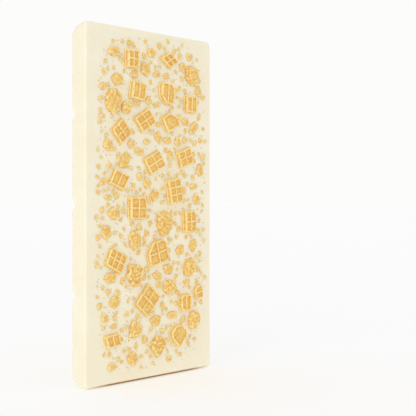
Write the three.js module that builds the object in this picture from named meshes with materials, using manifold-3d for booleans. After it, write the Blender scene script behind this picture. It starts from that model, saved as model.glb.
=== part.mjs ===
// White chocolate tablet with broken waffle set into its flat face.
//
// The tablet stands on its short end. Its flat face, where the mould was filled, looks
// along -Y and carries the waffle. The other face has the mould's pips and looks along +Y.
// Millimetres, +Z up, origin at the middle of the footprint.
//
// Everything is laid out in the frame of the flat face: X across, Y up, Z out of the face.
// The group at the end turns that frame so that the tablet stands.

import * as THREE from 'three';
import { mergeVertices } from 'three/addons/utils/BufferGeometryUtils.js';
import Module from 'manifold-3d';

const wasm = await Module();
wasm.setup();

// ---------------------------------------------------------------- driving dimensions

const TABLET_WIDE = 75;
const TABLET_HIGH = 150;
const TABLET_THICK = 10.4;
const SIDE_WALL = 8; // upright part of the side, from the flat face: the foot it stands on
const MOULD_BEVEL = 1.7; // how far the pips' outer bevel leans in above the side wall
const CORNER_RADIUS = 2.6; // corners of the outline, up to the top of the side wall
const PIP_CORNER_RADIUS = 3.8; // corners of the outline at the top of the pips
const CORNER_SLOPE = 1.2; // how far the corners lean in for each millimetre of height up to there
const CLEAR_OF_SIDES = 6; // the leaning cutters run on so far that they end outside
const CORNER_STEPS = 5;
const FACE_EDGE_RADIUS = 0.8; // soft edge round the flat face
const FACE_EDGE_STEPS = 2;

const PIPS_ACROSS = 3;
const PIPS_UP = 4;
const GROOVE_HALF = 3.1; // half of a groove's width, between the shoulders of two pips
const GROOVE_DEEP = 3.9;
const GROOVE_ROOT = 0.4; // half of the narrow floor of a groove
const SHOULDER_RISE = 0.45; // soft edge round a pip's top
const SHOULDER_RUN = 0.75;

const SUNK = 1.2; // how deep the waffle sits in the chocolate
const FIT_GAP = 0.3; // clearance between a piece of waffle and its bed
const PROUD_MOST = 2.8; // the thickest piece stands this far out of the flat face
const SHEET_STEP = 0.4; // how far a waffle's upper sheet is set in from the lower one
const SHEET_EDGE = 0.3; // chamfer on the edges of both sheets
const WAIST = 0.65; // how far the seam between them is drawn in from the lower sheet
const RIM = 0.5; // rim round the top of the upper sheet
const RIB = 0.45; // rib between two of its cells
const CELL_DEEP = 0.45;
const CELL_SHARE = 0.24; // a thin piece's cells go down this share of its height
const CELL_DRAFT = 0.15; // how much a cell narrows towards its floor
const SEAM_SHARE = 0.42; // the seam's height, as a share of the piece's
const SEAM_HALF = 0.12; // half of the seam's width
const STEEPNESS = 0.6; // of a rough lump's sides, 1 for a round ball and 0 for a block

const CRUMB_SEED = 20;
const CRUMB_COUNT = 228;
const CRUMB_LARGEST = 1.5; // radius
const CRUMB_SMALLEST = 0.7;
const CRUMB_PROUD_SHARE = 0.6; // a crumb's height, as a share of its radius
const CRUMB_STRETCH = 0.3; // how much longer or shorter than round a crumb may be
const CRUMB_CLEARANCE = 0.45; // from a crumb's edge to the next piece
const CRUMB_STRAY = 1.2; // how far a crumb strays from the even spread
const CRUMB_TRIES = 20; // spots tried for each crumb
const SPREAD_STEP = { x: 0.7548776662, y: 0.569840291 }; // steps that fill a square evenly
const FIELD = { x: 0.7, y: 76.3, halfWide: 32, halfHigh: 70.5 }; // where crumbs lie
const FIELD_CORNERS = 5; // 2 for an oval field, more for squarer corners

// How finely a rough lump is faceted, and how much its sides vary.
const CHUNK_FACETS = { sides: 7, rows: 6, rough: 0.2 };
const BIT_FACETS = { sides: 5, rows: 4, rough: 0.32 };
const CRUMB_FACETS = { sides: 5, rows: 4, rough: 0.3 };

// Waffle pieces with their grid: centre on the flat face, size along and across the grid,
// turn of the grid, lean of broken sides that are out of square, corners broken off
// (anticlockwise from the lower left), cells, and height above the face.
const WAFFLE_PIECES = [
  { at: [-12.9, 136.9], size: [6.9, 8.2], turn: -1, cells: [2, 2], proud: 2.6 },
  { at: [9.4, 138.6], size: [6.9, 7.3], turn: 30, lean: 24, cells: [2, 2], proud: 2.2 },
  { at: [-9.6, 123.6], size: [8.2, 8.1], turn: -7, lean: -2, cells: [2, 1], proud: 2.6 },
  { at: [7.8, 123.9], size: [8.4, 9.8], turn: -5, chip: [3.4, 1, 2.4, 1], cells: [2, 1], proud: 2.6 },
  { at: [22.8, 120.2], size: [7.2, 8], turn: -2, chip: [1, 0, 0, 1], cells: [2, 1], proud: 2.6 },
  { at: [-5, 111.3], size: [10.2, 8.3], turn: 30, lean: 9, cells: [2, 2], proud: 1.8 },
  { at: [10, 111.7], size: [8.8, 8], turn: 24, lean: 9, chip: [0, 0, 3, 1], cells: [1, 1], proud: 2.3 },
  { at: [-18.7, 105.9], size: [8.5, 8.6], turn: 42, chip: [0, 1.5, 0, 0], cells: [2, 2], proud: 1.9 },
  { at: [0.7, 93.4], size: [10.5, 8.6], turn: 26, lean: 7, cells: [2, 2], proud: 1.7 },
  { at: [19.5, 96.1], size: [9.1, 7.9], turn: 18, chip: [0, 1.4, 0, 0], cells: [2, 2], proud: 2.1 },
  { at: [-20, 85.7], size: [9.2, 7.5], turn: -22, lean: -6, cells: [2, 1], proud: 1.8 },
  { at: [12.4, 81.2], size: [8.1, 11.2], turn: 11, chip: [0, 0, 1.2, 0], cells: [2, 3], proud: 2.8 },
  { at: [-9.8, 73.7], size: [9.6, 10], turn: -1, chip: [1, 0, 1.4, 0], cells: [2, 2], proud: 2.5 },
  { at: [22.1, 67.5], size: [7.2, 10], turn: 2, chip: [0, 0, 1.6, 0], cells: [2, 2], proud: 2.8 },
  { at: [2.2, 54.3], size: [12, 10.6], turn: 14, chip: [1, 1.6, 1.6, 4], cells: [2, 2], proud: 2.1 },
  { at: [-21.8, 52], size: [10.4, 8.8], turn: -27, chip: [1, 0, 0, 1.2], cells: [3, 2], proud: 1.9 },
  { at: [-11.4, 45.2], size: [8.2, 9], turn: -9, lean: -6, chip: [3.8, 0, 1, 0], cells: [1, 1], proud: 2 },
  { at: [-3.5, 34], size: [12, 10.1], turn: 47, lean: 4, cells: [2, 2], proud: 1.8 },
  { at: [19.4, 31.2], size: [6.8, 7.8], turn: 0, chip: [1.6, 0, 0, 1.3], cells: [2, 1], proud: 2.4 },
  { at: [28.4, 35.3], size: [5.3, 6.8], turn: 8, chip: [1, 1, 0, 1.6], cells: [1, 2], proud: 1.8 },
  { at: [-23.6, 18.8], size: [8, 5.9], turn: 7, lean: 8, cells: [2, 1], proud: 1.9 },
  { at: [3, 14], size: [8, 7.8], turn: 42, chip: [0, 2, 2.2, 0.8], cells: [1, 1], proud: 2 },
  { at: [15.2, 17.6], size: [9, 9], turn: 47, chip: [0.5, 1.8, 3, 2], cells: [1, 1], proud: 2.3 },
];

// Crushed pieces with no grid left: centre, size across and up, turn, height above the face.
const WAFFLE_CHUNKS = [
  { at: [24.6, 133.4], size: [7.6, 9.6], turn: 20, proud: 2.3 },
  { at: [-23.1, 119.2], size: [7.4, 9.6], turn: -14, proud: 1.9 },
  { at: [-15.8, 115.9], size: [5.8, 5.7], turn: 20, proud: 1.7 },
  { at: [7.2, 67.1], size: [8.6, 9.6], turn: 12, proud: 2.1 },
  { at: [-10.9, 60], size: [7.2, 8], turn: -12, proud: 1.9 },
  { at: [22.8, 46.8], size: [8.4, 8.5], turn: -8, proud: 2.1 },
  { at: [10.6, 38.7], size: [7.2, 6.6], turn: 15, proud: 1.9 },
  { at: [25.3, 22.4], size: [6.2, 8.2], turn: -24, proud: 1.9 },
  { at: [-10.6, 22], size: [6.5, 7.8], turn: -16, proud: 1.9 },
  { at: [-12.4, 10.3], size: [5.5, 5.8], turn: 5, proud: 1.6 },
];

// Broken bits from 2 to 7 mm, part of the chocolate's face: centre, size across and up, turn.
const BITS = [
  [-4.0, 133.0, 5.6, 6.0, 20], [-10.6, 130.5, 4.4, 3.6, 10], [-22.6, 138.9, 5.8, 4.2, 12],
  [-13.4, 143.6, 5.6, 2.2, -6], [-0.6, 141.0, 4.4, 3.8, -20], [22.7, 141.5, 4.2, 2.8, 0],
  [17.2, 141.2, 2.6, 3.0, -30], [18.4, 136.5, 3.2, 3.4, 30], [-20.4, 127.6, 5.4, 4.2, 0],
  [2.4, 131.8, 4.6, 3.2, 14], [8.0, 131.7, 4.2, 2.8, 10], [28.8, 126.8, 3.4, 4.4, 24],
  [-2.0, 119.7, 3.6, 3.2, 0], [20.2, 112.6, 4.8, 3.3, -14], [25.6, 109.5, 4.0, 7.0, -36],
  [3.2, 104.4, 5.0, 4.2, -28], [9.0, 103.4, 3.8, 2.8, 0], [15.6, 102.9, 3.2, 3.6, 10],
  [20.0, 104.1, 3.0, 2.8, 0], [26.9, 103.0, 3.6, 2.4, 30], [-25.9, 99.4, 4.2, 4.4, 0],
  [-12.6, 100.6, 3.4, 3.4, 0], [-8.0, 98.0, 4.8, 3.2, -10], [-3.4, 102.2, 3.5, 2.2, 0],
  [-16.3, 94.3, 4.6, 6.2, -24], [10.6, 96.3, 3.4, 4.6, -14], [29.6, 91.0, 3.4, 5.8, 10],
  [-7.5, 87.1, 3.6, 5.2, -28], [-3.4, 84.1, 4.6, 4.6, 0], [25.4, 83.3, 5.8, 2.8, -6],
  [1.6, 79.3, 4.6, 4.8, 0], [27.6, 77.4, 4.8, 4.2, -10], [-25.8, 78.1, 4.3, 2.4, -6],
  [-22.6, 71.2, 5.8, 5.2, -12], [-26.6, 64.0, 4.8, 5.8, 14], [-3.6, 62.9, 3.4, 3.0, 0],
  [25.2, 57.2, 4.8, 4.8, 18], [16.6, 54.8, 4.6, 4.4, 0], [9.6, 46.9, 4.4, 3.6, -18],
  [3.2, 44.2, 4.8, 3.4, -10], [-25.2, 44.6, 5.8, 4.2, 0], [21.4, 40.2, 3.8, 2.8, -8],
  [-21.3, 34.4, 6.2, 4.2, 6], [-27.7, 28.3, 4.0, 3.8, 0], [1.6, 24.9, 5.4, 4.6, -8],
  [11.2, 26.3, 7.0, 3.8, -2], [-4.4, 17.2, 4.2, 2.8, -20], [-23.6, 8.1, 4.6, 3.4, 16],
  [-22.3, 24.6, 3.4, 2.2, 0], [3.6, 40.2, 3.2, 2.6, 0], [-7.9, 65.6, 3.2, 2.8, 0],
  [-3.4, 47.2, 3.0, 2.8, 0],
];
const BIT_PROUD = 1.25; // a bit stands at most this far out of the face
const BIT_PROUD_SHARE = 0.28; // and a small one this share of its width

const SAME_POINT = 1e-4; // points closer than this are one

// ---------------------------------------------------------------- solids and seeded draws

function mergedPoints(geometry) {
  const bare = geometry.clone();
  bare.deleteAttribute('normal');
  bare.deleteAttribute('uv');
  return mergeVertices(bare, SAME_POINT);
}

function solidOf(geometry) {
  const merged = mergedPoints(geometry);
  const vertProperties = new Float32Array(merged.attributes.position.array);
  const triVerts = new Uint32Array(merged.index.array);
  return new wasm.Manifold(new wasm.Mesh({ numProp: 3, vertProperties, triVerts }));
}

function geometryOf(solid) {
  const { vertProperties, triVerts } = solid.getMesh();
  const geometry = new THREE.BufferGeometry();
  geometry.setAttribute('position', new THREE.BufferAttribute(vertProperties, 3));
  geometry.setIndex(new THREE.BufferAttribute(triVerts, 1));
  geometry.computeVertexNormals();
  return geometry;
}

// A repeatable random draw from -1 to 1.
function drawsFrom(seed) {
  let state = seed >>> 0;
  return () => {
    state = (state + 0x6d2b79f5) >>> 0;
    let mixed = Math.imul(state ^ (state >>> 15), 1 | state);
    mixed = (mixed + Math.imul(mixed ^ (mixed >>> 7), 61 | mixed)) ^ mixed;
    return ((mixed ^ (mixed >>> 14)) >>> 0) / 2147483648 - 1;
  };
}

// A prism between two heights. Both ends lean in by inset over a height of rise, and grow
// moves the whole outline outwards.
function prism(outline, low, high, { inset = 0, rise = inset, segments = 1, grow = 0 } = {}) {
  const geometry = new THREE.ExtrudeGeometry(new THREE.Shape(outline), {
    depth: high - low - 2 * rise,
    bevelEnabled: true,
    bevelThickness: rise,
    bevelSize: inset,
    bevelOffset: grow - inset,
    bevelSegments: inset > 0 ? segments : 0,
  });
  return solidOf(geometry.translate(0, 0, low + rise));
}

// An outline moved to its place on the flat face.
function placed(outline, [x, y], turn) {
  const centre = new THREE.Vector2(x, y);
  const origin = new THREE.Vector2();
  const angle = THREE.MathUtils.degToRad(turn);
  return outline.map((point) => point.clone().rotateAround(origin, angle).add(centre));
}

// ---------------------------------------------------------------- the chocolate

// The tablet's outline, grown by so much all round, with its foot at zero when not grown.
function roundedOutline(radius, grow = 0) {
  const x = TABLET_WIDE / 2 + grow - radius;
  const low = radius - grow;
  const high = TABLET_HIGH + grow - radius;
  const centres = [[x, low], [x, high], [-x, high], [-x, low]];
  return centres.flatMap(([cx, cy], quarter) => {
    const corner = [];
    for (let step = 0; step <= CORNER_STEPS; step += 1) {
      const angle = ((quarter - 1 + step / CORNER_STEPS) * Math.PI) / 2;
      corner.push(new THREE.Vector2(cx + radius * Math.cos(angle), cy + radius * Math.sin(angle)));
    }
    return corner;
  });
}

// One V groove between two rows of pips, along Y.
function grooveBar(length) {
  const top = -TABLET_THICK;
  const right = [
    [GROOVE_ROOT, top + GROOVE_DEEP],
    [GROOVE_HALF, top + SHOULDER_RISE],
    [GROOVE_HALF + SHOULDER_RUN, top],
    [GROOVE_HALF + SHOULDER_RUN, top - 1],
  ];
  const left = right.map(([x, y]) => [-x, y]).reverse();
  const section = [...right, ...left].map(([x, y]) => new THREE.Vector2(x, y));
  const bar = new THREE.ExtrudeGeometry(new THREE.Shape(section), {
    depth: length,
    bevelEnabled: false,
  });
  return bar.translate(0, 0, -length / 2).rotateX(Math.PI / 2);
}

function grooves() {
  const cutters = [];
  const reach = 2 * TABLET_HIGH;
  for (let column = 1; column < PIPS_ACROSS; column += 1) {
    const x = TABLET_WIDE * (column / PIPS_ACROSS - 0.5);
    cutters.push(grooveBar(reach).translate(x, 0, 0));
  }
  for (let row = 1; row < PIPS_UP; row += 1) {
    const y = (TABLET_HIGH * row) / PIPS_UP;
    cutters.push(grooveBar(reach).rotateZ(Math.PI / 2).translate(0, y, 0));
  }
  return wasm.Manifold.union(cutters.map(solidOf));
}

// The upright sides end at the top of the side wall. Above it the sides lean in, and the
// corners more than the sides, so that they are rounder at the top of the pips.
function mouldedBlank() {
  const beyond = TABLET_THICK;
  const outline = roundedOutline(CORNER_RADIUS);
  const softFace = prism(outline, -TABLET_THICK - beyond, 0, {
    inset: FACE_EDGE_RADIUS,
    segments: FACE_EDGE_STEPS,
  });
  const bevelled = prism(outline, -TABLET_THICK, beyond, {
    inset: MOULD_BEVEL,
    rise: TABLET_THICK - SIDE_WALL,
  });
  const cornered = leaningIn(PIP_CORNER_RADIUS, MOULD_BEVEL, CORNER_SLOPE);
  const shouldered = leaningIn(
    PIP_CORNER_RADIUS - SHOULDER_RUN,
    MOULD_BEVEL + SHOULDER_RUN,
    SHOULDER_RUN / SHOULDER_RISE,
  );
  return softFace.intersect(bevelled).intersect(cornered).intersect(shouldered).subtract(grooves());
}

// Leaves what lies inside an outline that is so far in at the top of the pips, has this
// corner radius there, and widens below it by the slope.
function leaningIn(radius, inset, slope) {
  const run = inset + CLEAR_OF_SIDES;
  const outline = roundedOutline(radius + run, CLEAR_OF_SIDES);
  return prism(outline, -TABLET_THICK, TABLET_THICK, { inset: run, rise: run / slope });
}

// ---------------------------------------------------------------- the waffle

// The broken outline of a piece round its own centre: four corners, some of them snapped off.
function brokenOutline(wide, high, lean = 0, chip = [0, 0, 0, 0]) {
  const sway = THREE.MathUtils.degToRad(lean);
  const up = new THREE.Vector2(-Math.sin(sway), Math.cos(sway));
  const corners = [[-0.5, -0.5], [0.5, -0.5], [0.5, 0.5], [-0.5, 0.5]].map(
    ([along, across]) => new THREE.Vector2(along * wide, 0).addScaledVector(up, across * high),
  );
  return corners.flatMap((corner, index) => {
    if (chip[index] === 0) return [corner];
    const neighbours = [corners[(index + 3) % 4], corners[(index + 1) % 4]];
    return neighbours.map((neighbour) => {
      const away = neighbour.clone().sub(corner).normalize();
      return corner.clone().addScaledVector(away, chip[index]);
    });
  });
}

// The open cells between the ribs, kept inside the rim where a corner is gone.
function cellCutter({ size: [wide, high], lean = 0, chip, cells: [across, up], proud }) {
  const border = SHEET_STEP + RIM;
  const cellWide = (wide - 2 * border - (across - 1) * RIB) / across;
  const cellHigh = (high - 2 * border - (up - 1) * RIB) / up;
  const deep = Math.min(CELL_DEEP, CELL_SHARE * proud);
  const sway = THREE.MathUtils.degToRad(lean);
  const cutters = [];
  for (let column = 0; column < across; column += 1) {
    for (let row = 0; row < up; row += 1) {
      const along = (column - (across - 1) / 2) * (cellWide + RIB);
      const rise = (row - (up - 1) / 2) * (cellHigh + RIB);
      const centre = [along - rise * Math.sin(sway), rise * Math.cos(sway)];
      const cell = placed(brokenOutline(cellWide, cellHigh, lean), centre, 0);
      cutters.push(prism(cell, proud - deep, proud + 2 * deep, { inset: CELL_DRAFT, rise: deep }));
    }
  }
  const outline = brokenOutline(wide, high, lean, chip);
  const insideRim = prism(outline, 0, 2 * PROUD_MOST, { grow: -border });
  return wasm.Manifold.union(cutters).intersect(insideRim);
}

// Two crisp sheets with a drawn-in seam between them. The upper one is a little smaller and
// has the cells.
function waffleSolid(piece) {
  const { size: [wide, high], lean, chip, proud } = piece;
  const outline = brokenOutline(wide, high, lean, chip);
  const seam = SEAM_SHARE * proud;
  const lower = prism(outline, -SUNK, seam - SEAM_HALF, { inset: SHEET_EDGE });
  const upper = prism(outline, seam + SEAM_HALF, proud, { inset: SHEET_EDGE, grow: -SHEET_STEP });
  const core = prism(outline, -SUNK / 2, (seam + proud) / 2, { grow: -WAIST });
  return wasm.Manifold.union([lower, upper, core]).subtract(cellCutter(piece));
}

// A rough lump: a ball drawn out to its size, with steep sides and a blunt top, each side
// bulging by its own amount. Its flat sides lie wide and high apart, and the corners between
// them reach a little further. The outline is what it covers at the height of the flat face.
function lump({ wide, high, proud, sunk, sides, rows, rough }, draw) {
  const ball = new THREE.SphereGeometry(1, sides, rows).rotateX(Math.PI / 2);
  const geometry = mergedPoints(ball);
  const cornerReach = 1 / Math.cos(Math.PI / sides);
  const bulge = Array.from({ length: sides }, () => cornerReach * (1 + rough * draw()));
  const spots = geometry.attributes.position;
  const outline = [];
  for (let index = 0; index < spots.count; index += 1) {
    const [x, y, z] = [spots.getX(index), spots.getY(index), spots.getZ(index)];
    const side = Math.round(((Math.atan2(y, x) + Math.PI) / (2 * Math.PI)) * sides) % sides;
    const onFace = Math.abs(z) < SAME_POINT;
    const uneven = z > 0 && !onFace ? 1 + (rough / 2) * draw() : 1;
    const fullness = onFace ? 1 : Math.max(Math.hypot(x, y), SAME_POINT) ** (STEEPNESS - 1);
    const swell = bulge[side] * fullness * uneven;
    const rise = Math.min(1, Math.abs(z) ** STEEPNESS * uneven);
    const height = z > 0 ? proud * rise : -sunk * rise;
    spots.setXYZ(index, (x * swell * wide) / 2, (y * swell * high) / 2, onFace ? 0 : height);
    if (onFace) outline.push(new THREE.Vector2(spots.getX(index), spots.getY(index)));
  }
  outline.sort((a, b) => a.angle() - b.angle());
  return { geometry, outline };
}

// ---------------------------------------------------------------- what lies on the face

const draw = drawsFrom(CRUMB_SEED);

const pieces = WAFFLE_PIECES.map((piece, index) => ({
  ...piece,
  name: `waffle_piece_${String(index + 1).padStart(2, '0')}`,
  outline: brokenOutline(...piece.size, piece.lean, piece.chip),
  solid: waffleSolid(piece),
}));

const chunks = WAFFLE_CHUNKS.map((chunk, index) => {
  const [wide, high] = chunk.size;
  const shape = { wide, high, proud: chunk.proud, sunk: SUNK, ...CHUNK_FACETS };
  const { geometry, outline } = lump(shape, draw);
  const name = `waffle_chunk_${String(index + 1).padStart(2, '0')}`;
  return { ...chunk, name, outline, solid: solidOf(geometry) };
});

const beddedPieces = [...pieces, ...chunks];

// How far a point of the face is from an outline, below zero inside it.
function distanceTo(outline, point) {
  let nearest = Infinity;
  let inside = false;
  outline.forEach((from, index) => {
    const to = outline[(index + 1) % outline.length];
    const edge = to.clone().sub(from);
    const along = THREE.MathUtils.clamp(point.clone().sub(from).dot(edge) / edge.lengthSq(), 0, 1);
    nearest = Math.min(nearest, point.distanceTo(from.clone().addScaledVector(edge, along)));
    const crosses = from.y > point.y !== to.y > point.y;
    if (crosses && point.x < from.x + ((point.y - from.y) / edge.y) * edge.x) inside = !inside;
  });
  return inside ? -nearest : nearest;
}

function bits() {
  return BITS.map(([x, y, wide, high, turn]) => {
    const proud = Math.min(BIT_PROUD, BIT_PROUD_SHARE * Math.min(wide, high));
    const shape = { wide, high, proud, sunk: proud, ...BIT_FACETS };
    const { geometry, outline } = lump(shape, draw);
    const angle = THREE.MathUtils.degToRad(turn);
    const solid = solidOf(geometry.rotateZ(angle).translate(x, y, 0));
    return { outline: placed(outline, [x, y], turn), solid };
  });
}

// Crumbs fall by an even spread over the field, whose corners stay bare. The largest come
// first, and a crumb that would touch a piece, a bit or another crumb is left out.
function crumbs(taken) {
  const found = [];
  const tries = CRUMB_TRIES * CRUMB_COUNT;
  for (let index = 1; found.length < CRUMB_COUNT && index < tries; index += 1) {
    const share = found.length / CRUMB_COUNT;
    const radius = CRUMB_LARGEST * (CRUMB_SMALLEST / CRUMB_LARGEST) ** Math.sqrt(share);
    const across = 2 * ((index * SPREAD_STEP.x) % 1) - 1;
    const up = 2 * ((index * SPREAD_STEP.y) % 1) - 1;
    const inField = Math.abs(across) ** FIELD_CORNERS + Math.abs(up) ** FIELD_CORNERS < 1;
    const spot = new THREE.Vector2(
      FIELD.x + FIELD.halfWide * across + CRUMB_STRAY * draw(),
      FIELD.y + FIELD.halfHigh * up + CRUMB_STRAY * draw(),
    );
    const room = radius + CRUMB_CLEARANCE;
    const free = inField && taken.every((outline) => distanceTo(outline, spot) > room)
      && found.every((other) => other.spot.distanceTo(spot) > room + other.radius);
    if (free) found.push({ spot, radius });
  }
  return found.map(({ spot, radius }) => {
    const stretch = 1 + CRUMB_STRETCH * draw();
    const shape = {
      wide: 2 * radius * stretch,
      high: (2 * radius) / stretch,
      proud: CRUMB_PROUD_SHARE * radius,
      sunk: radius / 2,
      ...CRUMB_FACETS,
    };
    const turned = lump(shape, draw).geometry.rotateZ(Math.PI * draw());
    return solidOf(turned.translate(spot.x, spot.y, 0));
  });
}

function chocolateSolid() {
  const broken = bits();
  const beddedOutlines = beddedPieces.map(({ outline, at, turn }) => placed(outline, at, turn));
  const scattered = crumbs([...beddedOutlines, ...broken.map(({ outline }) => outline)]);
  const beds = beddedOutlines.map(
    (outline) => prism(outline, -SUNK - FIT_GAP, 2 * PROUD_MOST, { grow: FIT_GAP }),
  );
  const toppings = [...broken.map(({ solid }) => solid), ...scattered];
  return wasm.Manifold.union([mouldedBlank(), ...toppings]).subtract(wasm.Manifold.union(beds));
}

// ---------------------------------------------------------------- the bar, put together

const chocolate = new THREE.MeshStandardMaterial({ color: 0xf5ead0, roughness: 0.42, metalness: 0 });
const baked = new THREE.MeshStandardMaterial({ color: 0xe6b266, roughness: 0.75, metalness: 0 });

const bar = new THREE.Group();
bar.rotation.x = Math.PI / 2;
bar.position.y = (PROUD_MOST - TABLET_THICK) / 2;

const slab = new THREE.Mesh(geometryOf(chocolateSolid()), chocolate.clone());
slab.name = 'chocolate_slab';
bar.add(slab);

beddedPieces.forEach(({ name, at: [x, y], turn, solid }) => {
  const mesh = new THREE.Mesh(geometryOf(solid), baked.clone());
  mesh.name = name;
  mesh.position.set(x, y, 0);
  mesh.rotation.z = THREE.MathUtils.degToRad(turn);
  bar.add(mesh);
});

const tablet = new THREE.Group();
tablet.add(bar);

export default tablet;
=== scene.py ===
import bmesh
import bpy
import math
import numpy as np
import random
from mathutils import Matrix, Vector
from mathutils.bvhtree import BVHTree


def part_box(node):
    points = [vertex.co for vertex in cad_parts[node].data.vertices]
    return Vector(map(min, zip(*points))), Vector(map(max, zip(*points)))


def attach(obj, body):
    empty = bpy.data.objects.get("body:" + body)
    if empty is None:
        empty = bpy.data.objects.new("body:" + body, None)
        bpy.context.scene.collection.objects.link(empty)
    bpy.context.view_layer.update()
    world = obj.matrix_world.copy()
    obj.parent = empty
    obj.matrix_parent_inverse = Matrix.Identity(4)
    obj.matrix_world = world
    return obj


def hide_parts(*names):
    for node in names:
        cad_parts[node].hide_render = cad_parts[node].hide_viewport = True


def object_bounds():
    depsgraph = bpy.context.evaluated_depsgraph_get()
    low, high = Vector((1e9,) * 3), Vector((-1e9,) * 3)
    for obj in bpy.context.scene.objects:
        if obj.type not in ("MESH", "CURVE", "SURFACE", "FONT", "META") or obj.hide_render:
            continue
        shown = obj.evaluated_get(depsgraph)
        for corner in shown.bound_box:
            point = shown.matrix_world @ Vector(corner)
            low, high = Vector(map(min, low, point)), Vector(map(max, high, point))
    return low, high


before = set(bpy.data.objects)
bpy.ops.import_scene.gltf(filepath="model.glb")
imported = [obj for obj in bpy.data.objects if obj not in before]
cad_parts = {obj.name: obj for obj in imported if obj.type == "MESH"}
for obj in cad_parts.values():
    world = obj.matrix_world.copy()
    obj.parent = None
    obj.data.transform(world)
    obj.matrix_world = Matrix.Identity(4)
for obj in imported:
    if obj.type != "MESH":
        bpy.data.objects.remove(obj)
cad_box = [list(corner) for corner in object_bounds()]
mm = 0.001


# ---------------------------------------------------------------- the chocolate tablet
# One pour of white chocolate, cast in a mould with three by four pips and turned out. The
# moulded side looks along +Y, and the poured side, which set flat with the waffle pressed
# into it, looks along -Y. The tablet stands on its short end.

lowest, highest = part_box("chocolate_slab")
tablet_wide = highest.x - lowest.x
tablet_high = highest.z - lowest.z
tablet_thick = 10.4 * mm
side_wall = 8.0 * mm
mould_lean = 1.7 * mm
corner_radius = 2.6 * mm
corner_leans_from = 3.0 * mm
wall_corner_radius = 5.5 * mm
pip_corner_radius = 3.8 * mm
corner_steps = 14
poured_y = highest.y - tablet_thick
wall_top_y = poured_y + side_wall
middle_z = (lowest.z + highest.z) / 2


def take_up(piece):
    """Makes this piece the only one selected, and the active one."""
    bpy.ops.object.select_all(action="DESELECT")
    piece.select_set(True)
    bpy.context.view_layer.objects.active = piece


def settle(piece):
    """Puts the piece's place, turn and size into its mesh."""
    take_up(piece)
    bpy.ops.object.transform_apply(location=True, rotation=True, scale=True)


def edit(piece):
    """Opens the piece in edit mode with nothing selected."""
    take_up(piece)
    bpy.ops.object.mode_set(mode="EDIT")
    bpy.ops.mesh.select_all(action="DESELECT")


def pick(piece, kind, wanted):
    """Selects the faces or edges that answer to wanted, and nothing else."""
    bpy.ops.mesh.select_mode(type=kind)
    bpy.ops.mesh.select_all(action="DESELECT")
    shape = bmesh.from_edit_mesh(piece.data)
    for part in shape.faces if kind == "FACE" else shape.edges:
        if wanted(part):
            part.select_set(True)
    bmesh.update_edit_mesh(piece.data)


def leave_edit():
    bpy.ops.object.mode_set(mode="OBJECT")


def work(piece, kind, **settings):
    """Adds a modifier with these settings and applies it."""
    modifier = piece.modifiers.new(kind.lower(), kind)
    for name, value in settings.items():
        setattr(modifier, name, value)
    take_up(piece)
    bpy.ops.object.modifier_apply(modifier=modifier.name)


# Places a hair apart count as one, and a face this square looks straight one way.
hair = 0.01 * mm
square_on = 0.99


def near(value, target):
    return abs(value - target) < hair


def looks_back(face):
    """Whether a face looks the way of the moulded side."""
    return face.normal.y > square_on


def round_more(piece, level, inset, radius):
    """Gives the outline at this level rounder corners, each point keeping its turn."""
    old_radius = corner_radius - inset
    centre_across = tablet_wide / 2 - corner_radius
    centre_up = tablet_high / 2 - corner_radius
    for corner in piece.data.vertices:
        if not near(corner.co.y, level):
            continue
        across, up = corner.co.x, corner.co.z - middle_z
        arm = Vector((max(abs(across) - centre_across, 0), max(abs(up) - centre_up, 0)))
        shift = (radius - old_radius) * (arm.normalized() - Vector((1, 1)))
        corner.co.x += math.copysign(1, across) * shift.x
        corner.co.z += math.copysign(1, up) * shift.y


def cast_blank():
    """The block up to the side wall, its corners rounded, and the leaning edge above it."""
    bpy.ops.object.select_all(action="DESELECT")
    bpy.ops.mesh.primitive_cube_add(
        size=1,
        location=(0, poured_y + corner_leans_from / 2, middle_z),
        scale=(tablet_wide, corner_leans_from, tablet_high),
    )
    blank = bpy.context.object
    blank.name = "chocolate_tablet"
    settle(blank)
    edit(blank)
    pick(blank, "EDGE", lambda edge: abs((edge.verts[0].co - edge.verts[1].co).y) > mm)
    bpy.ops.mesh.bevel(offset=corner_radius, segments=corner_steps, affect="EDGES")
    pick(blank, "FACE", looks_back)
    wall_left = side_wall - corner_leans_from
    bpy.ops.mesh.extrude_region_move(TRANSFORM_OT_translate={"value": (0, wall_left, 0)})
    bpy.ops.mesh.inset(thickness=mould_lean, depth=tablet_thick - side_wall)
    leave_edit()
    round_more(blank, wall_top_y, 0, wall_corner_radius)
    round_more(blank, highest.y, mould_lean, pip_corner_radius)
    return blank


# V grooves with a narrow floor part the moulded side into its pips.
pips_across = 3
pips_up = 4
groove_deep = 3.9 * mm
groove_floor = 0.8 * mm
groove_mouth = 6.9 * mm
groove_y = highest.y - groove_deep
cutter_clear = 1.0 * mm
cutter_long = 3 * tablet_high


def groove_cutter():
    """A long wedge with the section of one groove, lying along Z with its mouth at +Y."""
    deep = groove_deep + cutter_clear
    bpy.ops.object.select_all(action="DESELECT")
    bpy.ops.mesh.primitive_cube_add(
        size=1,
        location=(0, groove_y + deep / 2, 0),
        scale=(groove_floor, deep, cutter_long),
    )
    cutter = bpy.context.object
    settle(cutter)
    edit(cutter)
    pick(cutter, "FACE", looks_back)
    opening = groove_floor + (groove_mouth - groove_floor) * deep / groove_deep
    widening = (opening / groove_floor, 1, 1)
    bpy.ops.transform.resize(value=widening, center_override=(0, groove_y, 0))
    leave_edit()
    return cutter


def copy_of(piece):
    twin = piece.copy()
    twin.data = piece.data.copy()
    bpy.context.collection.objects.link(twin)
    return twin


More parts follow.
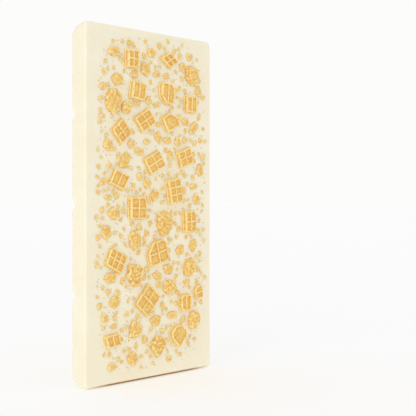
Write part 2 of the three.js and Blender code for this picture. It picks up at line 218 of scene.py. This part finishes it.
def put_in_order(piece):
    """Numbers corners and faces by place, because cuts number them anew in every run."""
    mesh = piece.data
    places = [tuple(corner.co) for corner in mesh.vertices]
    old = sorted(range(len(places)), key=places.__getitem__)
    new = {was: now for now, was in enumerate(old)}
    faces = []
    for face in mesh.polygons:
        ring = [new[n] for n in face.vertices]
        first = ring.index(min(ring))
        faces.append(ring[first:] + ring[:first])
    mesh.clear_geometry()
    mesh.from_pydata([places[n] for n in old], [], sorted(faces))


def cut_grooves(blank):
    """Cuts the upright grooves between the pips, and then the level ones."""
    pattern = groove_cutter()
    places = [(tablet_wide * (n / pips_across - 0.5), 0, 0) for n in range(1, pips_across)]
    places += [(0, 0, lowest.z + tablet_high * n / pips_up) for n in range(1, pips_up)]
    for place in places:
        cutter = copy_of(pattern)
        cutter.location = place
        cutter.rotation_euler.y = 0 if place[0] else math.pi / 2
        settle(cutter)
        work(blank, "BOOLEAN", operation="DIFFERENCE", solver="EXACT", object=cutter)
        bpy.data.objects.remove(cutter)
    bpy.data.objects.remove(pattern)
    put_in_order(blank)


# Each edge's softness is its share of soft_edge.
soft_edge = 0.8 * mm
soft_edge_steps = 5
rim_softness = 1.0
shoulder_softness = 0.85
wall_softness = 0.45
groove_softness = 0.32
sharp_from = math.radians(20)
flat_within = math.radians(1)


def edge_softness(edge):
    """How round an edge came out of the mould, as a share of the softest."""
    low, high = sorted(corner.co.y for corner in edge.verts)
    if near(low, wall_top_y) and near(high, wall_top_y):
        return wall_softness
    if len(edge.link_faces) < 2 or edge.calc_face_angle(0) < sharp_from:
        return 0
    if near(low, poured_y) and near(high, poured_y):
        return rim_softness
    if near(low, highest.y):
        return shoulder_softness
    if near(high, groove_y):
        return groove_softness
    return wall_softness


def soften_edges(blank):
    """Rounds every edge, the poured side's rim most and the foot of each groove least."""
    edit(blank)
    bpy.ops.mesh.select_all(action="SELECT")
    bpy.ops.mesh.remove_doubles(threshold=hair)
    bpy.ops.mesh.dissolve_limited(angle_limit=flat_within)
    shape = bmesh.from_edit_mesh(blank.data)
    softness = shape.edges.layers.float.new("bevel_weight_edge")
    for edge in shape.edges:
        edge[softness] = edge_softness(edge)
    bmesh.update_edit_mesh(blank.data)
    leave_edit()
    work(blank, "BEVEL", width=soft_edge, segments=soft_edge_steps, limit_method="WEIGHT")


# The poured side's lower edge stands a little clear of the table.
foot_lift = 0.2 * mm
foot_lift_deep = 1.4 * mm
foot_lift_high = 2.0 * mm


def lift_foot(blank):
    """Draws the poured side's lower edge up a little, so that the bar stands behind it."""
    edit(blank)
    bpy.ops.mesh.select_all(action="SELECT")
    bpy.ops.mesh.bisect(plane_co=(0, poured_y + foot_lift_deep, 0), plane_no=(0, 1, 0))
    leave_edit()
    for corner in blank.data.vertices:
        out = 1 - (corner.co.y - poured_y) / foot_lift_deep
        down = 1 - (corner.co.z - lowest.z) / foot_lift_high
        corner.co.z += foot_lift * max(out, 0) * max(down, 0)


# The poured side is a fine net of faces, so that it can be uneven and rise round the waffle.
net_step = 0.4 * mm
net_margin = 1.2 * mm
net_fade = 4.0 * mm
swell_size = 5.0 * mm
swell_high = 0.16 * mm
wet_reach = 1.0 * mm
wet_rise = 0.26 * mm
toppings = sorted(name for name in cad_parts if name.startswith("waffle"))


def is_poured_side(face):
    return -face.normal.y > square_on and near(face.calc_center_median().y, poured_y)


def lay_net(blank):
    """Trades the poured side's one face for a net, sewn to the soft edge round it."""
    edit(blank)
    pick(blank, "FACE", is_poured_side)
    bpy.ops.mesh.delete(type="FACE")
    wide = tablet_wide - 2 * (soft_edge + net_margin)
    high = tablet_high - 2 * (soft_edge + net_margin)
    centre = (0, poured_y, middle_z)
    bpy.ops.mesh.primitive_grid_add(
        x_subdivisions=round(wide / net_step),
        y_subdivisions=round(high / net_step),
        size=1,
        location=centre,
        rotation=(math.pi / 2, 0, 0),
    )
    bpy.ops.transform.resize(value=(wide, 1, high), center_override=centre)
    pick(blank, "EDGE", lambda edge: edge.is_boundary)
    bpy.ops.mesh.fill()
    leave_edit()


weld = 0.001 * mm


def merged_copy(node, name):
    """A copy of a node of the frame, with the corners of its faces joined up."""
    piece = bpy.data.objects.new(name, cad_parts[node].data.copy())
    bpy.context.collection.objects.link(piece)
    piece.data.materials.clear()
    edit(piece)
    bpy.ops.mesh.select_all(action="SELECT")
    bpy.ops.mesh.remove_doubles(threshold=weld)
    leave_edit()
    return piece


def join(pieces, name):
    """Makes one piece of these, under this name."""
    take_up(pieces[0])
    for piece in pieces:
        piece.select_set(True)
    bpy.ops.object.join()
    pieces[0].name = name
    return pieces[0]


cut_outside = 0.04 * mm


def proud_part(name):
    """The bits and crumbs of the frame's slab, cut off just outside the poured side."""
    piece = merged_copy("chocolate_slab", name)
    edit(piece)
    bpy.ops.mesh.select_all(action="SELECT")
    bpy.ops.mesh.bisect(
        plane_co=(0, poured_y - cut_outside, 0),
        plane_no=(0, 1, 0),
        use_fill=True,
        clear_outer=True,
        threshold=weld,
    )
    leave_edit()
    return piece


def cloudy(name, size, depth=2):
    """An even pattern of soft lumps of about this size, with finer ones on them."""
    texture = bpy.data.textures.new(name, "CLOUDS")
    texture.noise_scale = size
    texture.noise_depth = depth
    return texture


def pour(blank):
    """Makes the poured side gently uneven, and draws it up round all that lies in it."""
    inside = blank.vertex_groups.new(name="poured")
    bed = blank.vertex_groups.new(name="wet")
    reach_x = tablet_wide / 2 - soft_edge - net_margin
    reach_z = tablet_high / 2 - soft_edge - net_margin
    for corner in blank.data.vertices:
        margin = min(reach_x - abs(corner.co.x), reach_z - abs(corner.co.z - middle_z))
        if near(corner.co.y, poured_y) and margin > 0:
            inside.add([corner.index], min(1, margin / net_fade), "REPLACE")
            bed.add([corner.index], 0, "REPLACE")
    swell = cloudy("poured_swell", swell_size)
    laid = join([merged_copy(node, "laid") for node in toppings] + [proud_part("laid")], "laid")
    work(blank, "DISPLACE", vertex_group="poured", texture=swell, strength=swell_high)
    work(
        blank,
        "VERTEX_WEIGHT_PROXIMITY",
        vertex_group="wet",
        target=laid,
        proximity_mode="GEOMETRY",
        proximity_geometry={"FACE"},
        min_dist=wet_reach,
        max_dist=0,
        falloff_type="SHARP",
    )
    work(blank, "DISPLACE", vertex_group="wet", mid_level=0, strength=wet_rise)
    bpy.data.objects.remove(laid)


def tone(red, green, blue):
    """A colour as a screen shows it, from 0 to 255, as the share of light it gives back."""
    shares = [value / 255 for value in (red, green, blue)]
    return [s / 12.92 if s <= 0.04045 else ((s + 0.055) / 1.055) ** 2.4 for s in shares] + [1]


class Finish:
    """A material with one surface, and the patterns that go into it."""

    def __init__(self, name):
        self.material = bpy.data.materials.new(name)
        self.material.use_nodes = True
        self.tree = self.material.node_tree
        self.surface = self.tree.nodes["Principled BSDF"]
        self.place = self.add("TexCoord").outputs["Object"]

    def add(self, kind, inputs=None, **settings):
        """A new node of this kind, with these settings and inputs."""
        node = self.tree.nodes.new("ShaderNode" + kind)
        for name, value in settings.items():
            setattr(node, name, value)
        for name, value in (inputs or {}).items():
            self.put(node.inputs[name], value)
        return node

    def put(self, socket, value):
        """Links a socket to a pattern, or sets it to a plain value."""
        if isinstance(value, bpy.types.NodeSocket):
            self.tree.links.new(value, socket)
        else:
            socket.default_value = value

    def set(self, **values):
        """Fills the surface's sockets, with _ for each space in a socket's name."""
        for name, value in values.items():
            self.put(self.surface.inputs[name.replace("_", " ")], value)

    def mottle(self, size, detail=2.0, rough=0.5):
        """Soft noise with patches of about this size."""
        inputs = {"Vector": self.place, "Scale": 1 / size, "Detail": detail, "Roughness": rough}
        return self.add("TexNoise", inputs).outputs["Fac"]

    def spread(self, value, low, high, start=0.0, end=1.0):
        """Stretches a value that runs from low to high so that it runs from start to end."""
        inputs = {"Value": value, "From Min": low, "From Max": high, "To Min": start, "To Max": end}
        return self.add("MapRange", inputs).outputs["Result"]

    def ramp(self, value, *stops):
        """Colours a value by these stops, each a spot from 0 to 1 and its colour."""
        node = self.add("ValToRGB", {"Fac": value})
        steps = node.color_ramp.elements
        while len(steps) < len(stops):
            steps.new(0.5)
        for step, (spot, colour) in zip(steps, stops):
            step.position = spot
            step.color = colour
        return node.outputs["Color"]

    def mix(self, share, under, over, way="MIX"):
        """Lays one colour over another by this share."""
        node = self.add("Mix", data_type="RGBA", blend_type=way)
        self.put(node.inputs[0], share)
        self.put(node.inputs[6], under)
        self.put(node.inputs[7], over)
        return node.outputs[2]

    def relief(self, height, deep, under=None):
        """Dents and bumps this deep, over those of another relief."""
        node = self.add("Bump", {"Height": height, "Distance": deep, "Strength": 1.0})
        if under is not None:
            self.put(node.inputs["Normal"], under)
        return node.outputs["Normal"]


# A thin painted shadow line runs brown along the poured side's lower edge, fading at both ends.
shadow_line_high = (0.75 * mm, 1.05 * mm)
shadow_line_deep = (1.0 * mm, 1.6 * mm)
shadow_line_ends = (24.0 * mm, 37.0 * mm)


def painted_foot_shadow(chocolate):
    """The share of painted brown shadow: 1 along the line, and 0 away from it."""
    spot = chocolate.add("SeparateXYZ", {"Vector": chocolate.place}).outputs
    from_middle = chocolate.add("Math", {0: spot["X"]}, operation="ABSOLUTE").outputs[0]
    low = chocolate.spread(spot["Z"], *[lowest.z + high for high in shadow_line_high], 1, 0)
    front = chocolate.spread(spot["Y"], *[poured_y + deep for deep in shadow_line_deep], 1, 0)
    within = chocolate.spread(from_middle, *shadow_line_ends, 1, 0)
    line = chocolate.add("Math", {0: low, 1: front}, operation="MULTIPLY").outputs[0]
    return chocolate.add("Math", {0: line, 1: within}, operation="MULTIPLY").outputs[0]


def chocolate_finish():
    """Cream-coloured, silky and a little see-through, with faint patches and waves, and a painted
    shadow line along the foot.
    """
    chocolate = Finish("white_chocolate")
    butter = tone(250, 239, 213)
    cream = tone(251, 241, 217)
    milk = tone(253, 244, 223)
    speck = tone(252, 251, 248)
    clean = tone(255, 255, 255)
    # Painted shadow: the brown of the line along the poured side's foot.
    foot_shadow_brown = tone(148, 106, 0)
    patch_size = 11 * mm
    speck_size = 0.9 * mm
    wave_size = 9 * mm
    wave_deep = 0.08 * mm
    grain_size = 0.5 * mm
    grain_deep = 0.006 * mm
    broad = chocolate.mottle(patch_size, detail=3)
    fine = chocolate.mottle(speck_size, detail=3, rough=0.6)
    base = chocolate.ramp(broad, (0.35, butter), (0.55, cream), (0.75, milk))
    specks = chocolate.ramp(fine, (0.4, speck), (0.6, clean))
    body = chocolate.mix(0.5, base, specks, way="MULTIPLY")
    waves = chocolate.relief(chocolate.mottle(wave_size, detail=1), wave_deep)
    skin = chocolate.relief(chocolate.mottle(grain_size, detail=3), grain_deep, under=waves)
    chocolate.set(
        # The base colour carries the painted shadow line along the foot.
        Base_Color=chocolate.mix(painted_foot_shadow(chocolate), body, foot_shadow_brown),
        Roughness=chocolate.spread(fine, 0.3, 0.7, 0.28, 0.38),
        Subsurface_Weight=0.4,
        Subsurface_Radius=(1.0, 0.75, 0.4),
        Subsurface_Scale=1.5 * mm,
        IOR=1.46,
        Normal=skin,
    )
    return chocolate.material


tablet = cast_blank()
cut_grooves(tablet)
soften_edges(tablet)
lift_foot(tablet)
lay_net(tablet)
pour(tablet)
tablet.vertex_groups.clear()
tablet.data.materials.clear()
tablet.data.materials.append(chocolate_finish())
take_up(tablet)
bpy.ops.object.shade_smooth()
work(tablet, "WEIGHTED_NORMAL", keep_sharp=False)
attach(tablet, "root")
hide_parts("chocolate_slab")


# ---------------------------------------------------------------- the waffle pieces
# Thin waffles baked crisp from two sheets of batter and broken by hand. Most pieces keep
# their grid of cells between ribs, and the crushed ones are rough lumps. They are pressed
# into the chocolate before it sets.

waffle_fineness = 0.15 * mm
waffle_swelling = 0.1 * mm
rib_evening_steps = 26
swollen = cloudy("baked_swell", 2.2 * mm)
swollen_high = 0.3 * mm
crisp = cloudy("crisp_grain", 0.6 * mm)
crisp_high = 0.16 * mm
torn = cloudy("torn_crumb", 1.3 * mm, depth=1)
torn_high = 1.3 * mm
# The waffle is darkened with painted shade up to this height out of the poured side.
foot_shade_high = 0.7 * mm
# A lift says how far a point stands out, in the middle of a cell and on top of a rib.
rib_lift = (-0.08 * mm, 0.1 * mm)
torn_lift = (-0.2 * mm, 0.25 * mm)
# What was crushed so much that no grid is left.
crushed = ("waffle_chunk", "waffle_piece_17", "waffle_piece_22")


def mark_ribs(piece, lift_range):
    """Stores how far each point stands out of its surroundings: 0 in a cell, 1 on a rib."""
    mesh = piece.data
    places = np.empty(len(mesh.vertices) * 3)
    mesh.vertices.foreach_get("co", places)
    places = places.reshape(-1, 3)
    ends = np.empty(len(mesh.edges) * 2, int)
    mesh.edges.foreach_get("vertices", ends)
    ends = ends.reshape(-1, 2)
    here = np.concatenate([ends[:, 0], ends[:, 1]])
    there = np.concatenate([ends[:, 1], ends[:, 0]])
    neighbours = np.bincount(here, minlength=len(places))
    even = places.copy()
    for _ in range(rib_evening_steps):
        even = np.stack(
            [np.bincount(here, even[there, axis], len(places)) / neighbours for axis in range(3)],
            axis=1,
        )
    normals = np.empty(len(places) * 3)
    mesh.vertex_normals.foreach_get("vector", normals)
    lift = ((places - even) * normals.reshape(-1, 3)).sum(axis=1)
    share = np.clip((lift - lift_range[0]) / (lift_range[1] - lift_range[0]), 0, 1)
    mesh.attributes.new("rib", "FLOAT", "POINT").data.foreach_set("value", share)


def hold_back(piece):
    """Lets no point stand out further than the proudest waffle of the frame."""
    for corner in piece.data.vertices:
        corner.co.y = max(corner.co.y, cad_box[0][1])


def waffle_finish():
    """A golden crust, paler on the ribs and darker in the cells, partly by painted highlight and
    shade, and darkened with painted shade where it goes into the chocolate.
    """
    waffle = Finish("baked_waffle")
    golden = tone(238, 186, 94)
    honey = tone(243, 204, 121)
    pale = tone(254, 233, 168)
    # The toasted tone of random patches, also used as painted shade in the deepest cells.
    toasted_and_shaded = tone(222, 161, 70)
    # Painted shade: the darkened tone of the waffle's foot in the chocolate.
    foot_shade_tone = tone(218, 156, 68)
    grain_size = 0.9 * mm
    patch_size = 2.2 * mm
    pore_size = 0.5 * mm
    pore_deep = 0.1 * mm
    rib = waffle.add("Attribute", attribute_name="rib").outputs["Fac"]
    grain = waffle.mottle(grain_size, detail=3, rough=0.75)
    patches = waffle.mottle(patch_size, detail=2)
    # Paler on the ribs and darker in the cells: partly the waffle's own colour, partly painted
    # highlight on ribs and painted shade in cells.
    rib_tone_and_highlight = waffle.spread(rib, 0, 1, 0.25, 0.95)
    uneven = waffle.add("Math", {0: rib_tone_and_highlight, 1: waffle.spread(grain, 0.3, 0.7, -0.4, 0.4)})
    crust = waffle.ramp(uneven.outputs[0], (0.0, toasted_and_shaded), (0.3, golden), (0.6, honey), (1.0, pale))
    spots = waffle.spread(patches, 0.5, 0.7, 0, 0.3)
    out = waffle.add("SeparateXYZ", {"Vector": waffle.place}).outputs["Y"]
    # Painted shade, darkening the waffle towards the chocolate.
    painted_foot_shade = waffle.spread(out, poured_y - foot_shade_high, poured_y, 0, 0.55)
    pores = waffle.relief(waffle.mottle(pore_size, detail=4, rough=0.6), pore_deep)
    waffle.set(
        Base_Color=waffle.mix(painted_foot_shade, waffle.mix(spots, crust, toasted_and_shaded), foot_shade_tone),
        Roughness=waffle.spread(grain, 0.3, 0.7, 0.42, 0.6),
        Subsurface_Weight=0.3,
        Subsurface_Radius=(1.0, 0.65, 0.3),
        Subsurface_Scale=0.6 * mm,
        IOR=1.4,
        Normal=pores,
    )
    return waffle.material


baked = waffle_finish()
baked_pieces = []
for node in toppings:
    piece = merged_copy(node, "baked_" + node)
    work(piece, "REMESH", mode="VOXEL", voxel_size=waffle_fineness)
    work(piece, "SMOOTH", factor=0.5, iterations=3)
    if node.startswith(crushed):
        work(piece, "DISPLACE", texture=torn, strength=torn_high)
        work(piece, "SMOOTH", factor=0.5, iterations=1)
    mark_ribs(piece, torn_lift if node.startswith(crushed) else rib_lift)
    work(piece, "DISPLACE", mid_level=0, strength=waffle_swelling)
    work(piece, "DISPLACE", texture=swollen, strength=swollen_high)
    work(piece, "DISPLACE", texture=crisp, strength=crisp_high)
    hold_back(piece)
    piece.data.materials.append(baked)
    take_up(piece)
    bpy.ops.object.shade_smooth()
    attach(piece, "root")
    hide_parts(node)
    baked_pieces.append(piece)


# ---------------------------------------------------------------- the bits and crumbs
# What broke off the waffle, from bits of several millimetres down to crumbs. Each lies half
# sunk in the chocolate, so it is one rough lump that reaches a little way into it.

bit_span = 3.4 * mm
bit_fineness = 0.2 * mm
crumb_fineness = 0.17 * mm
crumb_root = 0.4 * mm
crumb_lift = (-0.24 * mm, 0.4 * mm)
crumb_swelling = 0.16 * mm
broken = cloudy("broken_crumb", 0.8 * mm, depth=1)
broken_high = 0.6 * mm


def is_bit(lump):
    """Whether a lump is wide enough to count as a bit, and not as a crumb."""
    along = [[corner.co[axis] for corner in lump.data.vertices] for axis in (0, 2)]
    return max(max(places) - min(places) for places in along) > bit_span


def roughen(lumps, fineness):
    """Gives lumps a root in the chocolate, and then the rough skin of broken waffle."""
    edit(lumps)
    pick(lumps, "FACE", lambda face: near(face.calc_center_median().y, poured_y - cut_outside))
    bpy.ops.mesh.extrude_region_move(TRANSFORM_OT_translate={"value": (0, crumb_root, 0)})
    leave_edit()
    work(lumps, "REMESH", mode="VOXEL", voxel_size=fineness)
    work(lumps, "DISPLACE", mid_level=0, strength=crumb_swelling)
    work(lumps, "DISPLACE", texture=broken, strength=broken_high)
    work(lumps, "SMOOTH", factor=0.5, iterations=1)
    mark_ribs(lumps, crumb_lift)
    work(lumps, "DISPLACE", texture=crisp, strength=crisp_high)


take_up(proud_part("lump"))
bpy.ops.mesh.separate(type="LOOSE")
broken_off = list(bpy.context.selected_objects)
bits = [lump for lump in broken_off if is_bit(lump)]
crumbs = [lump for lump in broken_off if not is_bit(lump)]
for lumps, name, fineness in (
    (bits, "waffle_bits", bit_fineness),
    (crumbs, "waffle_crumbs", crumb_fineness),
):
    piece = join(lumps, name)
    roughen(piece, fineness)
    piece.data.materials.append(baked)
    take_up(piece)
    bpy.ops.object.shade_smooth()
    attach(piece, "root")
    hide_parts("chocolate_slab")
    baked_pieces.append(piece)


# ---------------------------------------------------------------- the waffle dust
# The finest of the broken waffle, grains well under a millimetre that fell with the crumbs
# and stuck where there was bare chocolate. Each is a sharp little chip, half sunk.

dust_count = 420
dust_sizes = (0.22 * mm, 0.55 * mm)
# The field that it fell on: half its width and height, its middle, and how square it is.
dust_field = (33.0 * mm, 71.5 * mm)
dust_middle = (0.7 * mm, 76.3 * mm)
dust_squareness = 5
dust_sunk = 0.25
dust_apart = 1.3
dust_lift = (-1.2 * mm, 0.2 * mm)
chip_jagged = (0.75, 1.2)
chip_stretch = (0.7, 1.2)
drop_height = 10 * mm
shake = random.Random(7)


def chip_pattern():
    """One jagged little chip, which every grain is a copy of."""
    bpy.ops.object.select_all(action="DESELECT")
    bpy.ops.mesh.primitive_ico_sphere_add(subdivisions=1, radius=1, location=(0, 0, 0))
    chip = bpy.context.object
    for corner in chip.data.vertices:
        corner.co *= shake.uniform(*chip_jagged)
    return chip


def first_hit(lying, x, z):
    """What a drop straight onto the poured side meets first at this spot."""
    start = Vector((x, lowest.y - drop_height, z))
    hits = [(tree.ray_cast(start, Vector((0, 1, 0)))[0], bare) for tree, bare in lying]
    return min(((hit.y, bare) for hit, bare in hits if hit), default=(0, False))


def scatter_dust():
    """Drops grains at random spots, and keeps those that land on bare chocolate."""
    graph = bpy.context.evaluated_depsgraph_get()
    waffle = join([copy_of(piece) for piece in baked_pieces], "all_waffle")
    waffle_tree = BVHTree.FromObject(waffle, graph)
    tablet_tree = BVHTree.FromObject(tablet, graph)
    bpy.data.objects.remove(waffle)
    pattern = chip_pattern()
    grains = []
    while len(grains) < dust_count:
        across, up = shake.uniform(-1, 1), shake.uniform(-1, 1)
        size = shake.uniform(*dust_sizes)
        if abs(across) ** dust_squareness + abs(up) ** dust_squareness > 1:
            continue
        x = dust_middle[0] + dust_field[0] * across
        z = dust_middle[1] + dust_field[1] * up
        y, bare = first_hit([(waffle_tree, False), (tablet_tree, True)], x, z)
        spot = Vector((x, y + dust_sunk * size, z))
        if not bare or waffle_tree.find_nearest(spot)[3] < dust_apart * size:
            continue
        grain = copy_of(pattern)
        grain.location = spot
        grain.rotation_euler = [shake.uniform(0, math.tau) for _ in range(3)]
        grain.scale = [size * shake.uniform(*chip_stretch) for _ in range(3)]
        grains.append(grain)
    bpy.data.objects.remove(pattern)
    dust = join(grains, "waffle_dust")
    settle(dust)
    return dust


dust = scatter_dust()
mark_ribs(dust, dust_lift)
dust.data.materials.append(baked)
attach(dust, "root")
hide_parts("chocolate_slab")


# ---------------------------------------------------------------- the floor and the light
# A plain pale floor that runs out of sight and gives off a little light of its own, under an
# even white sky. One broad light stands on the left, and a small one marks the long edge
# between the side wall and the poured side.

floor_reach = 40.0
floor_white = tone(205, 215, 229)
floor_glow = tone(255, 239, 214)
floor_glow_strength = 0.42
sky_seen = tone(252, 252, 250)
sky_light = 0.807
key_strength = 0.37
key_softness = math.radians(35)
towards_key = Vector((-0.85, -0.20, 0.36))
glint_strength = 0.23
glint_softness = math.radians(8)
towards_glint = Vector((-0.75, -0.66, 0.14))


def white_sky():
    """Gives an even white light, and is seen as a white just short of the brightest."""
    sky = bpy.data.worlds.new("white_sky")
    sky.use_nodes = True
    nodes, links = sky.node_tree.nodes, sky.node_tree.links
    shining = nodes["Background"]
    shining.inputs["Color"].default_value = (1, 1, 1, 1)
    shining.inputs["Strength"].default_value = sky_light
    seen = nodes.new("ShaderNodeBackground")
    seen.inputs["Color"].default_value = sky_seen
    either = nodes.new("ShaderNodeMixShader")
    ray = nodes.new("ShaderNodeLightPath")
    links.new(ray.outputs["Is Camera Ray"], either.inputs["Fac"])
    links.new(shining.outputs["Background"], either.inputs[1])
    links.new(seen.outputs["Background"], either.inputs[2])
    links.new(either.outputs["Shader"], nodes["World Output"].inputs["Surface"])
    return sky


def hang_light(name, towards, strength, softness):
    """A far light that shines on the bar from this direction."""
    bpy.ops.object.light_add(type="SUN", location=towards)
    light = bpy.context.object
    light.name = name
    light.rotation_euler = towards.to_track_quat("Z", "Y").to_euler()
    light.data.energy = strength
    light.data.angle = softness


bpy.ops.object.select_all(action="DESELECT")
bpy.ops.mesh.primitive_plane_add(size=2 * floor_reach, location=(0, 0, lowest.z))
floor = bpy.context.object
floor.name = "floor"
settle(floor)
paper = Finish("pale_floor")
paper.set(
    Base_Color=floor_white,
    Roughness=0.9,
    Emission_Color=floor_glow,
    Emission_Strength=floor_glow_strength,
)
floor.data.materials.append(paper.material)
bpy.context.scene.world = white_sky()
hang_light("key_light", towards_key, key_strength, key_softness)
hang_light("edge_light", towards_glint, glint_strength, glint_softness)


# ---------------------------------------------------------------- the camera
# It stands level, a little over half way up the bar, and looks across the poured side from
# the left.

camera_place = (-288.2 * mm, -300.3 * mm, 77.3 * mm)
camera_turn = math.radians(-47.55)
lens_in_mm = 82.4
film_wide_in_mm = 36
view_shift = -0.020
bpy.ops.object.camera_add(location=camera_place, rotation=(math.pi / 2, 0, camera_turn))
camera = bpy.context.object
camera.data.lens = lens_in_mm
camera.data.sensor_width = film_wide_in_mm
camera.data.shift_y = view_shift
bpy.context.scene.camera = camera
bpy.context.scene.view_settings.view_transform = "Standard"
